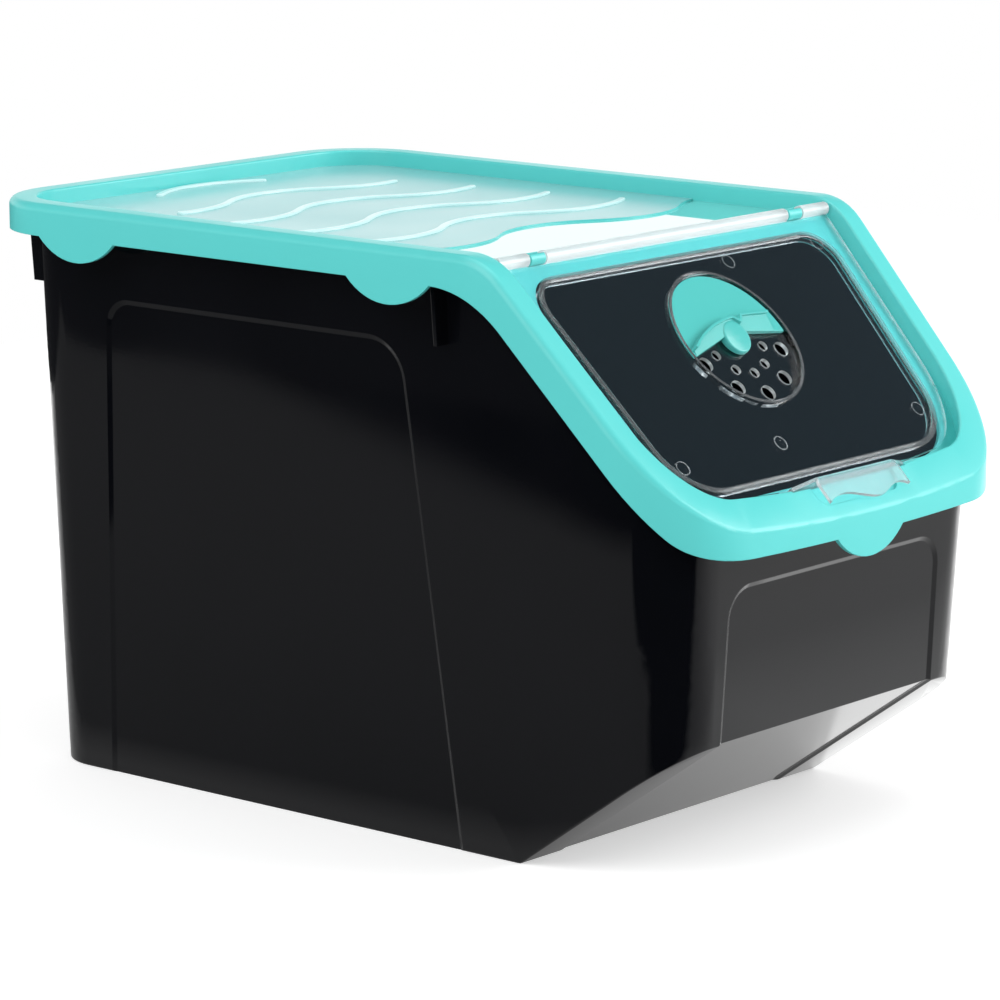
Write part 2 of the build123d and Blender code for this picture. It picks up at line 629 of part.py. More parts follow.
vent_inner = VENT_RADIUS - VENT_WALL
vent_bottom = VENT_FLOOR_DEPTH + VENT_FLOOR_THICKNESS
bar_half = RECESS_HALF - HATCH_GAP
plate_bottom = HATCH_DEPTH + HATCH_THICKNESS
with BuildPart() as hatch:
    add(hatch_slab(HATCH_DEPTH, plate_bottom))
    # Hinge bar, cut free round the clips down to its necks
    with BuildSketch(Plane.YZ):
        on_axis(BAR_RADIUS)
    extrude(amount=bar_half, both=True)
    for start in (-neck_outer, neck_inner):
        with BuildSketch(Plane.YZ.offset(start)):
            on_axis(clip_radius + CLIP_CLEARANCE)
        extrude(amount=neck_outer - neck_inner, mode=Mode.SUBTRACT)
    with BuildSketch(Plane.YZ):
        on_axis(NECK_RADIUS)
    extrude(amount=bar_half, both=True)
    # Bead round the window, and the frame rib under it
    with BuildSketch(slope_plane(HATCH_DEPTH)):
        add(window_outline(BEAD_WIDTH))
        add(window_outline(0), mode=Mode.SUBTRACT)
    extrude(amount=BEAD_HEIGHT)
    with BuildSketch(slope_plane(plate_bottom + FRAME_DROP)):
        add(window_outline(FRAME_WALL))
        add(window_outline(0), mode=Mode.SUBTRACT)
    extrude(amount=FRAME_DROP + HATCH_THICKNESS / 2)
    # Vent dish with its ring, pivot hole and two circles of holes
    with BuildSketch(vent_plane(vent_bottom)):
        Circle(VENT_RADIUS)
    extrude(amount=vent_bottom - HATCH_DEPTH + VENT_PROUD)
    with BuildSketch(vent_plane(VENT_FLOOR_DEPTH)):
        Circle(vent_inner)
    extrude(amount=VENT_FLOOR_DEPTH, mode=Mode.SUBTRACT)
    with BuildSketch(vent_plane(vent_bottom)):
        Circle(PIVOT_RADIUS + PIN_CLEARANCE)
        with PolarLocations(VENT_CIRCLE_LARGE, VENT_SPOKES, VENT_FIRST_ANGLE, VENT_SPREAD, endpoint=True):
            Circle(VENT_HOLE_LARGE / 2)
        with PolarLocations(VENT_CIRCLE_SMALL, VENT_SPOKES, VENT_FIRST_ANGLE, VENT_SPREAD, endpoint=True):
            Circle(VENT_HOLE_SMALL / 2)
    extrude(amount=VENT_FLOOR_THICKNESS, mode=Mode.SUBTRACT)
    # Riser on a strip of the front edge, low at its ends and high under the latch tab
    riser_end = RISER_RUN + RISER_WALL
    strip = 3 * RISER_WALL
    with BuildSketch(slope_plane(plate_bottom)):
        with Locations((0, strip / 2 - riser_end)):
            Rectangle(RISER_WIDTH, strip)
    extrude(amount=HATCH_THICKNESS)
    with BuildSketch(Plane(origin=KNEE + DOWN * RISER_RUN, x_dir=(1, 0, 0), z_dir=DOWN)):
        riser_half = RISER_WIDTH / 2
        riser_top = LATCH_WIDTH / 2 - LATCH_CORNER
        with BuildLine():
            Polyline(
                (-riser_half, -plate_bottom),
                (riser_half, -plate_bottom),
                (riser_half, 0),
                (riser_top, LATCH_RISE),
                (-riser_top, LATCH_RISE),
                (-riser_half, 0),
                close=True,
            )
        make_face()
    extrude(amount=RISER_WALL)
    with BuildSketch(slope_plane(LATCH_THICKNESS - LATCH_RISE)) as tab:
        corners = latch_points(RISER_RUN, RISER_RUN + LATCH_LENGTH)
        with BuildLine():
            Line(corners[0], corners[1])
            Spline(*corners[1:6])
            Line(corners[5], corners[6])
            Line(corners[6], corners[0])
        make_face()
        fillet(tab.vertices().sort_by(Axis.Y)[-2:], LATCH_CORNER)
    extrude(amount=LATCH_THICKNESS)
    bend = KNEE + DOWN * RISER_RUN + OUT * LATCH_RISE
    fillet(hatch.edges().filter_by(Axis.X).sort_by_distance(bend)[0], LATCH_BEND)
hatch.part.label = "hatch"

# Shutter: a little more than half a disc, on the side of the vent that points up the slope
disc_radius = vent_inner - SHUTTER_GAP
disc_bottom = VENT_FLOOR_DEPTH - SHUTTER_LIFT
disc_top = disc_bottom - SHUTTER_THICKNESS
tip_y = SHUTTER_APEX - VENT_RADIUS * math.tan(SHUTTER_SWEEP)
pivot_end = vent_bottom + SHUTTER_LIFT
with BuildPart() as vent_shutter:
    with BuildSketch(shutter_plane(disc_bottom)):
        Circle(disc_radius)
        with BuildLine():
            Polyline(
                (-VENT_RADIUS, tip_y),
                (0, SHUTTER_APEX),
                (VENT_RADIUS, tip_y),
                (VENT_RADIUS, VENT_RADIUS),
                (-VENT_RADIUS, VENT_RADIUS),
                close=True,
            )
        make_face(mode=Mode.INTERSECT)
    extrude(amount=SHUTTER_THICKNESS)
    # Wing grip: its back stands high and its front slopes down to the disc's straight edges
    grip_edge = SHUTTER_APEX - GRIP_LEFT * math.tan(SHUTTER_SWEEP)
    with BuildSketch(shutter_plane(disc_top)):
        with BuildLine():
            ThreePointArc((-GRIP_LEFT, 0), (-GRIP_LEFT / 2, GRIP_LEFT_BACK), (0, GRIP_BACK))
            Polyline(
                (0, GRIP_BACK),
                (GRIP_DIP, GRIP_BACK),
                (2 * GRIP_DIP, GRIP_BACK - GRIP_DIP),
                (3 * GRIP_DIP, GRIP_BACK),
                (GRIP_RIGHT, GRIP_RIGHT_BACK),
                (GRIP_RIGHT, SHUTTER_APEX - GRIP_RIGHT * math.tan(SHUTTER_SWEEP)),
                (0, SHUTTER_APEX),
                (-GRIP_LEFT, grip_edge),
                (-GRIP_LEFT, 0),
            )
        make_face()
    extrude(amount=GRIP_HEIGHT)
    slope = math.atan2(GRIP_HEIGHT, GRIP_BACK - grip_edge)
    ramp = Plane(
        origin=shutter_plane(disc_top).from_local_coords(Vector(0, grip_edge, 0)),
        z_dir=OUT * math.cos(slope) - shutter_plane(0).y_dir * math.sin(slope),
    )
    split(bisect_by=ramp, keep=Keep.BOTTOM)
    # Ridge along the grip's back
    with BuildSketch(shutter_plane(disc_top)):
        with BuildLine():
            ThreePointArc((-GRIP_LEFT, 0), (-GRIP_LEFT / 2, GRIP_LEFT_BACK), (0, GRIP_BACK))
            Polyline(
                (0, GRIP_BACK),
                (GRIP_DIP, GRIP_BACK),
                (2 * GRIP_DIP, GRIP_BACK - GRIP_DIP),
                (3 * GRIP_DIP, GRIP_BACK),
                (GRIP_RIGHT, GRIP_RIGHT_BACK),
            )
            offset(amount=RIDGE_WIDTH / 2)
        make_face()
    extrude(amount=GRIP_HEIGHT + RIDGE_RISE)
    # Hub: its rounded top slopes down from the grip towards the disc's straight edges
    tilt = math.atan2(HUB_HEIGHT - HUB_FRONT_HEIGHT, 2 * HUB_RADIUS)
    hub_top = Plane(
        origin=shutter_plane(disc_top).from_local_coords(Vector(0, -HUB_RADIUS, HUB_FRONT_HEIGHT)),
        z_dir=OUT * math.cos(tilt) - shutter_plane(0).y_dir * math.sin(tilt),
    )
    with BuildPart(mode=Mode.PRIVATE) as hub:
        with BuildSketch(shutter_plane(disc_bottom)):
            Circle(HUB_RADIUS)
        extrude(amount=SHUTTER_THICKNESS + 2 * HUB_HEIGHT)
        split(bisect_by=hub_top, keep=Keep.BOTTOM)
        fillet(hub.faces().sort_by(Axis(VENT, OUT))[-1].edges(), HUB_EDGE)
    add(hub.part)
    # Snap pivot through the dish's floor, with its lip under it
    with BuildSketch(shutter_plane(pivot_end)):
        Circle(PIVOT_RADIUS)
    extrude(amount=pivot_end - disc_bottom)
    with BuildSketch(shutter_plane(pivot_end + PIVOT_LIP_HEIGHT)):
        Circle(PIVOT_RADIUS)
    with BuildSketch(shutter_plane(pivot_end)):
        Circle(PIVOT_RADIUS + PIVOT_LIP)
    loft(ruled=True)
vent_shutter.part.label = "vent_shutter"

# Planes of the drafted walls, for the sunken panels
side_wall = Plane(
    origin=(FOOT_HALF_WIDTH, 0, 0),
    x_dir=(0, 1, 0),
    z_dir=(math.cos(SIDE_DRAFT), 0, -math.sin(SIDE_DRAFT)),
)
front_wall = Plane(
    origin=(0, FOOT_FRONT_Y, 0),
    x_dir=(1, 0, 0),
    z_dir=(0, -math.cos(FRONT_DRAFT), -math.sin(FRONT_DRAFT)),
)
chamfer_top_y = FOOT_FRONT_Y - CHAMFER_TOP_Z * math.tan(FRONT_DRAFT)
chamfer_length = math.hypot(CHAMFER_TOP_Z, CHAMFER_FLOOR_Y - chamfer_top_y)
chamfer_wall = Plane(
    origin=(0, CHAMFER_FLOOR_Y, 0),
    x_dir=(1, 0, 0),
    z_dir=(0, -CHAMFER_TOP_Z, chamfer_top_y - CHAMFER_FLOOR_Y),
)

side_top = (HEIGHT - SIDE_PANEL_TOP_DROP) / math.cos(SIDE_DRAFT)
side_panel = panel_cutter(
    side_wall,
    [
        (SIDE_PANEL_FRONT[0], -2 * MARGIN),
        (SIDE_PANEL_REAR[0], -2 * MARGIN),
        (SIDE_PANEL_REAR[1], side_top),
        (SIDE_PANEL_FRONT[1], side_top),
    ],
    [
        ((SIDE_PANEL_REAR[1], side_top), SIDE_PANEL_CORNERS[0]),
        ((SIDE_PANEL_FRONT[1], side_top), SIDE_PANEL_CORNERS[1]),
    ],
)
front_top = (NOSE_Z - FRONT_PANEL_TOP_DROP) / math.cos(FRONT_DRAFT)
low_half, fold_half, top_half = [HALF_WIDTH - inset for inset in FRONT_PANEL_INSETS]
front_panel = panel_cutter(
    front_wall,
    [
        (-fold_half, MARGIN),
        (fold_half, MARGIN),
        (top_half, front_top),
        (-top_half, front_top),
    ],
    [
        ((top_half, front_top), FRONT_PANEL_CORNER),
        ((-top_half, front_top), FRONT_PANEL_CORNER),
    ],
)
chamfer_panel = panel_cutter(
    chamfer_wall,
    [
        (-low_half, -2 * MARGIN),
        (low_half, -2 * MARGIN),
        (fold_half, chamfer_length + MARGIN),
        (-fold_half, chamfer_length + MARGIN),
    ],
    [],
)

# Bin body
flange_inset = LID_WALL + FLANGE_GAP
flange_bottom = FLANGE_DEPTH + FLANGE_THICKNESS
fin_top_z = HEIGHT - flange_bottom
fin_bottom_z = fin_top_z - FIN_LENGTH
with BuildPart() as bin_body:
    add(body_block(0, 0))
    fold = Vector(0, chamfer_top_y, CHAMFER_TOP_Z)
    fillet(bin_body.edges().filter_by(Axis.X).sort_by_distance(fold)[0], CHAMFER_EDGE_ROUND)
    fillet(bin_body.faces().sort_by(Axis.Z)[0].edges(), FOOT_ROUND)
    add(side_panel, mode=Mode.SUBTRACT)
    mirror(side_panel, about=Plane.YZ, mode=Mode.SUBTRACT)
    add(front_panel, mode=Mode.SUBTRACT)
    add(chamfer_panel, mode=Mode.SUBTRACT)
    extrude(beneath(FLANGE_DEPTH, FLANGE_SILL_Z), amount=LID_WIDTH, both=True, mode=Mode.INTERSECT)
    add(
        bent_block(
            flange_inset,
            FLANGE_DEPTH,
            flange_bottom,
            top_sill=FLANGE_SILL_Z,
            bottom_sill=FLANGE_SILL_Z - FLANGE_THICKNESS,
        )
    )
    # Fins under the flange: one on each side, two at the rear
    side_wall_x = FOOT_HALF_WIDTH + fin_top_z * math.tan(SIDE_DRAFT)
    with BuildSketch(Plane.XZ.offset(-SIDE_FIN_Y - FIN_THICKNESS / 2)):
        with BuildLine():
            Polyline(
                (0, fin_bottom_z),
                (side_wall_x + FIN_REACH - FIN_TAPER, fin_bottom_z),
                (side_wall_x + FIN_REACH, fin_top_z + FLANGE_THICKNESS / 2),
                (0, fin_top_z + FLANGE_THICKNESS / 2),
                close=True,
            )
        make_face()
        mirror(about=Plane.YZ)
    extrude(amount=FIN_THICKNESS)
    rear_wall_y = FOOT_REAR_Y + fin_top_z * math.tan(REAR_DRAFT)
    rear_fin_x = HALF_WIDTH - REAR_FIN_INSET
    with BuildSketch(Plane.YZ.offset(rear_fin_x - FIN_THICKNESS / 2)) as rear_fin:
        with BuildLine():
            Polyline(
                (0, fin_bottom_z),
                (rear_wall_y + FIN_REACH - FIN_TAPER, fin_bottom_z),
                (rear_wall_y + FIN_REACH, fin_top_z + FLANGE_THICKNESS / 2),
                (0, fin_top_z + FLANGE_THICKNESS / 2),
                close=True,
            )
        make_face()
    extrude(amount=FIN_THICKNESS)
    with BuildSketch(Plane.YZ.offset(-rear_fin_x - FIN_THICKNESS / 2)):
        add(rear_fin.sketch_local)
    extrude(amount=FIN_THICKNESS)
    add(body_block(BODY_WALL, BODY_FLOOR), mode=Mode.SUBTRACT)
bin_body.part.label = "bin_body"

os.makedirs("parts", exist_ok=True)
for piece in (bin_body, lid, lid_seal, hatch, vent_shutter):
    export_step(piece.part, f"parts/{piece.part.label}.step")
    print(piece.part.label, len(piece.part.solids()), round(piece.part.volume / 1000, 1), "cm3")
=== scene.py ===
"""Looks of a produce storage bin: a glossy black bin, a teal lid, a clear hatch and its vent.

Everything is in metres, in the frame of the CAD model: the floor is z = 0, the nose with the hatch
points along -Y and the rear along +Y.
"""
import math

import bpy
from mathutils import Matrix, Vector


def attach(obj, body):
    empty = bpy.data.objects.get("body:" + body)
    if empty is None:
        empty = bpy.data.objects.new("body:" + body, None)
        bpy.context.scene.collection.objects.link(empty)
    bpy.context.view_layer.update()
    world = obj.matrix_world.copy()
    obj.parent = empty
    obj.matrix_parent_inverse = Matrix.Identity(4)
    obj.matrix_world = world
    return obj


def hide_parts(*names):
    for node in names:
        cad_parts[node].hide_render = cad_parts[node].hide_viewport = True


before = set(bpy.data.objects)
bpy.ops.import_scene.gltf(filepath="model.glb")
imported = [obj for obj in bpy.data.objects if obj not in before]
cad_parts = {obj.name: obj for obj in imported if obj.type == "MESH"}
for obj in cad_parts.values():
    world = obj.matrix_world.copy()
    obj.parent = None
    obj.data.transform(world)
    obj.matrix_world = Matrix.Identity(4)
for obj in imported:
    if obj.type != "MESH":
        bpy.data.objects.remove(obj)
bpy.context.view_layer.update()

MM = 0.001

# Camera of the photograph
CAMERA_PLACE = (-1.4973, -1.2585, 0.5140)
CAMERA_TURN = math.radians(-49.957)
CAMERA_DOWN = math.radians(11.306)
CAMERA_LENS = 167.1
CAMERA_REACH = 20
SENSOR = 36.0

# Slope of the hatch: runs go down it from the knee, heights stand square to it
SLANT = math.radians(46.1)
KNEE = Vector((0, -0.0932, 0.2505))
DOWN = Vector((0, -math.cos(SLANT), -math.sin(SLANT)))
OUT = Vector((0, -math.sin(SLANT), math.cos(SLANT)))
HATCH_DEPTH = 6.2 * MM

# Moulded plastic: its broken edges and sink waves, the range of the noise that changes its gloss,
# and the ripple of clear plastic
EDGE_BREAK = 0.5 * MM
EDGE_SAMPLES = 6
WAVE_DEPTH = 0.02 * MM
NOISE_LOW, NOISE_HIGH = 0.3, 0.7
RIPPLE_SIZE = 30 * MM
RIPPLE_DEPTH = 0.05 * MM


def linear(code):
    """Linear, opaque colour of an sRGB hex value."""
    values = [int(code[i : i + 2], 16) / 255 for i in (1, 3, 5)]
    curve = [v / 12.92 if v <= 0.04045 else ((v + 0.055) / 1.055) ** 2.4 for v in values]
    return (*curve, 1.0)


def add_node(tree, kind, inputs=None, **settings):
    """Adds a node; an input is a value, a socket, or a node whose first output feeds it."""
    node = tree.nodes.new(kind)
    for name, value in settings.items():
        setattr(node, name, value)
    for name, value in (inputs or {}).items():
        if isinstance(value, bpy.types.Node):
            value = value.outputs[0]
        if isinstance(value, bpy.types.NodeSocket):
            tree.links.new(value, node.inputs[name])
        else:
            node.inputs[name].default_value = value
    return node


def new_material(name):
    """Material and its node tree, still empty."""
    material = bpy.data.materials.new(name)
    material.use_nodes = True
    material.node_tree.nodes.clear()
    return material, material.node_tree


def moulded(
    name,
    colour,
    shade,
    roughness,
    spread,
    peel_mm,
    wave_mm,
    peel_depth_mm=0.003,
    ior=1.49,
    coat=None,
):
    """Moulded plastic: a little colour drift, uneven gloss, fine orange peel and slow sink waves.

    The drift goes from colour to shade, and the roughness goes up and down by spread. peel_mm and
    wave_mm are the sizes of the fine and the slow unevenness on the real surface. Sharp edges are
    broken by the mould maker's half millimetre.
    """
    material, tree = new_material(name)
    place = add_node(tree, "ShaderNodeTexCoord").outputs["Object"]
    drift = add_node(
        tree, "ShaderNodeTexNoise", {"Vector": place, "Scale": 1 / (wave_mm * MM), "Detail": 2.0}
    )
    tint = add_node(
        tree,
        "ShaderNodeMix",
        {"Factor": drift, 6: linear(colour), 7: linear(shade)},
        data_type="RGBA",
    )
    gloss = add_node(
        tree,
        "ShaderNodeMapRange",
        {
            "Value": drift,
            "From Min": NOISE_LOW,
            "From Max": NOISE_HIGH,
            "To Min": roughness - spread,
            "To Max": roughness + spread,
        },
    )
    peel = add_node(
        tree, "ShaderNodeTexNoise", {"Vector": place, "Scale": 1 / (peel_mm * MM), "Detail": 1.0}
    )
    relief = add_node(tree, "ShaderNodeBevel", {"Radius": EDGE_BREAK}, samples=EDGE_SAMPLES)
    for height, depth in ((peel, peel_depth_mm * MM), (drift, WAVE_DEPTH)):
        relief = add_node(
            tree,
            "ShaderNodeBump",
            {"Height": height, "Strength": 1.0, "Distance": depth, "Normal": relief},
        )
    shader = add_node(
        tree,
        "ShaderNodeBsdfPrincipled",
        {
            "Base Color": tint.outputs[2],
            "Roughness": gloss,
            "IOR": ior,
            "Normal": relief,
            **(coat or {}),
        },
    )
    add_node(tree, "ShaderNodeOutputMaterial", {"Surface": shader})
    return material


def clear_plastic(name, tint, roughness, ior, milk=0.0):
    """Clear moulded styrene that lets lamp light through; milk is the share that scatters."""
    material, tree = new_material(name)
    place = add_node(tree, "ShaderNodeTexCoord").outputs["Object"]
    ripple = add_node(
        tree, "ShaderNodeTexNoise", {"Vector": place, "Scale": 1 / RIPPLE_SIZE, "Detail": 1.0}
    )
    relief = add_node(
        tree, "ShaderNodeBump", {"Height": ripple, "Strength": 1.0, "Distance": RIPPLE_DEPTH}
    )
    shader = add_node(
        tree,
        "ShaderNodeBsdfPrincipled",
        {
            "Base Color": linear(tint),
            "Roughness": roughness,
            "IOR": ior,
            "Transmission Weight": 1.0 - milk,
            "Normal": relief,
        },
    )
    clear = add_node(tree, "ShaderNodeBsdfTransparent", {"Color": linear(tint)})
    shadow = add_node(tree, "ShaderNodeLightPath").outputs["Is Shadow Ray"]
    whole = add_node(tree, "ShaderNodeMixShader", {0: shadow, 1: shader, 2: clear})
    add_node(tree, "ShaderNodeOutputMaterial", {"Surface": whole})
    return material


# Glossy moulded polypropylene, coloured through with carbon black: a deep mirror-like black whose
# reflections waver a little where the wall has sunk.
BLACK_POLYPROPYLENE = moulded(
    "glossy_black_polypropylene",
    "#07080B",
    "#0A0B0F",
    roughness=0.07,
    spread=0.02,
    peel_mm=1.6,
    wave_mm=60,
)
# Satin moulded polypropylene, teal: soft wide highlights and a slightly milky colour.
TEAL_POLYPROPYLENE = moulded(
    "satin_teal_polypropylene",
    "#5ACECB",
    "#56CAC7",
    roughness=0.33,
    spread=0.04,
    peel_mm=1.2,
    wave_mm=60,
)
# The same plastic off a sand-blasted mould face: the level panel scatters its reflections.
FROSTED_POLYPROPYLENE = moulded(
    "frosted_teal_polypropylene",
    "#88C6C8",
    "#84C2C4",
    roughness=0.24,
    spread=0.03,
    peel_mm=0.8,
    wave_mm=60,
    peel_depth_mm=0.008,
    ior=1.6,
)
# The same plastic off a polished mould face: a clean mirror strip in front of the wave step.
POLISHED_POLYPROPYLENE = moulded(
    "polished_teal_polypropylene",
    "#7FD9D5",
    "#7BD5D1",
    roughness=0.03,
    spread=0.01,
    peel_mm=1.6,
    wave_mm=80,
    coat={"Coat Weight": 1.0, "Coat IOR": 2.2, "Coat Roughness": 0.02},
)
# The same plastic in the panel's thin wave ribs, painted near white: a painted highlight along the
# ribs.
RIB_HIGHLIGHT_POLYPROPYLENE = moulded(
    "rib_teal_polypropylene_painted_highlight",
    "#C6EAEA",
    "#C2E6E6",
    roughness=0.22,
    spread=0.02,
    peel_mm=1.2,
    wave_mm=60,
)
# Gloss moulded polypropylene of the vent's shutter: a deeper teal with tighter highlights.
SHUTTER_POLYPROPYLENE = moulded(
    "gloss_teal_polypropylene",
    "#52BDB8",
    "#4EB8B3",
    roughness=0.22,
    spread=0.03,
    peel_mm=1.2,
    wave_mm=30,
)
# Soft moulded silicone rubber, uncoloured: milky and dull.
SILICONE = moulded(
    "soft_white_silicone",
    "#DDE2E0",
    "#D6DBDA",
    roughness=0.5,
    spread=0.05,
    peel_mm=0.8,
    wave_mm=20,
    ior=1.41,
)
# Clear styrene acrylonitrile, injection moulded and polished: water clear with bright edges.
CLEAR_STYRENE = clear_plastic(
    "clear_styrene_acrylonitrile", "#F3F8FA", roughness=0.015, ior=1.57
)
# The same plastic off a finely blasted mould face: the latch tab, bead and vent ring scatter light.
FROSTED_STYRENE = clear_plastic(
    "frosted_styrene_acrylonitrile", "#E4EAEC", roughness=0.22, ior=1.57, milk=0.07
)
# The same plastic where it is thick or was cut: the hinge bar and the vent's hole walls look milky.
MILKY_STYRENE = clear_plastic(
    "milky_styrene_acrylonitrile", "#DDE2E3", roughness=0.3, ior=1.57, milk=0.5
)

WELD = 0.002 * MM
SMOOTH_ANGLE = math.radians(22)


def select_only(piece):
    """Selects this piece and no other, and makes it the active one."""
    bpy.ops.object.select_all(action="DESELECT")
    piece.select_set(True)
    bpy.context.view_layer.objects.active = piece


def welded_copy(node, name, body, slot, *materials):
    """Piece with a CAD node's shape: its triangles are welded and its rounds are shaded smooth."""
    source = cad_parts[node]
    piece = source.copy()
    piece.data = source.data.copy()
    piece.name = name
    piece.data.name = name
    piece.parent = None
    bpy.context.scene.collection.objects.link(piece)
    select_only(piece)
    bpy.ops.mesh.customdata_custom_splitnormals_clear()
    bpy.ops.object.mode_set(mode="EDIT")
    bpy.ops.mesh.select_all(action="SELECT")
    bpy.ops.mesh.remove_doubles(threshold=WELD)
    bpy.ops.object.mode_set(mode="OBJECT")
    bpy.ops.object.shade_smooth_by_angle(angle=SMOOTH_ANGLE)
    piece.data.materials.clear()
    for material in materials:
        piece.data.materials.append(material)
    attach(piece, body)
    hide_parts(node)
    return piece


# Places in the lists of materials of the lid and the hatch, whose first, 0, is the plain finish;
# the lid's place 3 holds the ribs' painted highlight
LID_FROSTED, LID_POLISHED, LID_RIB_HIGHLIGHT = 1, 2, 3
HATCH_FROSTED, HATCH_MILKY = 1, 2

welded_copy("bin_body", "bin_shell", "bin", "bin_plastic", BLACK_POLYPROPYLENE)
lid_shell = welded_copy(
    "lid",
    "lid_shell",
    "lid",
    "lid_plastic",
    TEAL_POLYPROPYLENE,
    FROSTED_POLYPROPYLENE,
    POLISHED_POLYPROPYLENE,
    RIB_HIGHLIGHT_POLYPROPYLENE,
)
welded_copy("lid_seal", "seal_ring", "lid", "seal_rubber", SILICONE)
hatch_cover = welded_copy(
    "hatch",
    "hatch_cover",
    "hatch",
    "clear_plastic",
    CLEAR_STYRENE,
    FROSTED_STYRENE,
    MILKY_STYRENE,
)
welded_copy("vent_shutter", "vent_wheel", "shutter", "shutter_plastic", SHUTTER_POLYPROPYLENE)

# Level panel of the lid: heights of its two finishes and of the top of its ribs, the least upward
# part of a level face's normal, and the panel's reach
FROSTED_Z = 0.2435
POLISHED_Z = 0.2427
RIB_TOP_Z = 0.2446
SAME_HEIGHT = 0.002 * MM
LEVEL = 0.99
PANEL_HALF_WIDTH = 0.1
PANEL_Y = (-0.04, 0.18)

for face in lid_shell.data.polygons:
    place = face.center
    is_level = face.normal.z > LEVEL
    in_panel = abs(place.x) < PANEL_HALF_WIDTH and PANEL_Y[0] < place.y < PANEL_Y[1]
    if is_level and abs(place.z - FROSTED_Z) < SAME_HEIGHT:
        face.material_index = LID_FROSTED
    elif is_level and abs(place.z - POLISHED_Z) < SAME_HEIGHT:
        face.material_index = LID_POLISHED
    # Faces of the wave ribs take the near white of their painted highlight
    elif in_panel and FROSTED_Z < place.z < RIB_TOP_Z:
        face.material_index = LID_RIB_HIGHLIGHT

# Features of the hatch: its hinge bar, the run where its latch starts, its vent, and how much of
# the normal points out of the slope on a face that looks out, at least, or stands upright, at most
HINGE_Y = -0.089818
HINGE_Z = 0.245649
BAR_REACH = 3.2 * MM
LATCH_RUN = 128.8 * MM
VENT_RUN = 54.3 * MM
VENT_RADIUS = 34.0 * MM
VENT_RING_WIDTH = 1.6 * MM
HOLES_INSET = 2.0 * MM
BEAD_DISTANCE = 1.0 * MM
CLEARANCE = 0.1 * MM
FACES_OUT = 0.9
STANDS_UPRIGHT = 0.3

for face in hatch_cover.data.polygons:
    place = face.center
    offset = place - KNEE
    run, height = offset.dot(DOWN), offset.dot(OUT)
    facing = face.normal.dot(OUT)
    from_vent = math.hypot(place.x, run - VENT_RUN)
    on_bar = math.hypot(place.y - HINGE_Y, place.z - HINGE_Z) < BAR_REACH
    in_hole = from_vent < VENT_RADIUS - HOLES_INSET and abs(facing) < STANDS_UPRIGHT
    on_latch = run > LATCH_RUN
    on_bead = height > CLEARANCE - HATCH_DEPTH and from_vent > VENT_RADIUS + BEAD_DISTANCE
    in_ring = VENT_RADIUS - VENT_RING_WIDTH < from_vent < VENT_RADIUS + CLEARANCE
    if on_bar or in_hole:
        face.material_index = HATCH_MILKY
    elif on_latch or on_bead or (in_ring and facing > FACES_OUT):
        face.material_index = HATCH_FROSTED

# Rings on the hatch: places across and down the slope, and their size
RING_PLACES_MM = ((27.1, 18.4), (90.1, 17.3), (80.0, 105.0), (-82.0, 107.0), (-17.0, 106.0))
RING_RADIUS = 3.4 * MM
RING_WIDTH = 0.35 * MM
RING_HEIGHT = 0.15 * MM
RING_CORNERS = 40


def ejector_rings():
    """Thin raised rings that the mould's ejector pins leave on the hatch, as one piece."""
    inner = RING_RADIUS - RING_WIDTH / math.cos(math.pi / RING_CORNERS)
    section = ((RING_RADIUS, 0), (RING_RADIUS, RING_HEIGHT), (inner, RING_HEIGHT), (inner, 0))
    points, faces = [], []
    for across, run in RING_PLACES_MM:
        place = KNEE + Vector((across * MM, 0, 0)) + DOWN * run * MM - OUT * HATCH_DEPTH
        first = len(points)
        for corner in range(RING_CORNERS):
            angle = 2 * math.pi * corner / RING_CORNERS
            spoke = Vector((math.cos(angle), 0, 0)) - DOWN * math.sin(angle)
            points += [place + spoke * radius + OUT * height for radius, height in section]
            here = first + len(section) * corner
            there = first + len(section) * ((corner + 1) % RING_CORNERS)
            for side in range(len(section)):
                turned = (side + 1) % len(section)
                faces.append((here + side, there + side, there + turned, here + turned))
    mesh = bpy.data.meshes.new("ejector_rings")
    mesh.from_pydata(points, [], faces)
    mesh.materials.append(FROSTED_STYRENE)
    rings = bpy.data.objects.new("ejector_rings", mesh)
    bpy.context.scene.collection.objects.link(rings)
    select_only(rings)
    bpy.ops.object.shade_smooth_by_angle(angle=SMOOTH_ANGLE)
    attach(rings, "hatch")


ejector_rings()

# Floor: the places of its sides, and how much it is lifted to the backdrop's white
FLOOR_X = (-0.75, 1.6)
FLOOR_Y = (-1.2, 1.0)
FLOOR_LIFT = 0.42

# Edges of the painted reflections on the floor, dark and white patches that only reflections see:
# the two places between which a patch ends, and the share of the floor's light that is left on it.
# The far left dark patch ends at an X that falls as Y grows, and the fading patch dims the floor's
# reflection softly towards the left.
LEFT_DARK_REFLECTION_X = (-0.14, -0.11, 0.4)
FAR_LEFT_DARK_REFLECTION_X = (-0.47, -0.43, 0.0)
FAR_LEFT_DARK_REFLECTION_SLOPE = 0.45
CORNER_DARK_REFLECTION_X = (-0.13, -0.09, 0.0)
CORNER_DARK_REFLECTION_Y = (-0.21, -0.17, 0.0)
FRONT_DARK_REFLECTION_Y = (-0.36, -0.20, 0.52)
FADING_REFLECTION_X = (-0.10, 0.12, 0.45)
WHITE_REFLECTION_X = (0.105, 0.11, 0.0)
WHITE_REFLECTION_Y = (-0.25, -0.2, 0.0)
WHITE_REFLECTION_GLOW = 0.45


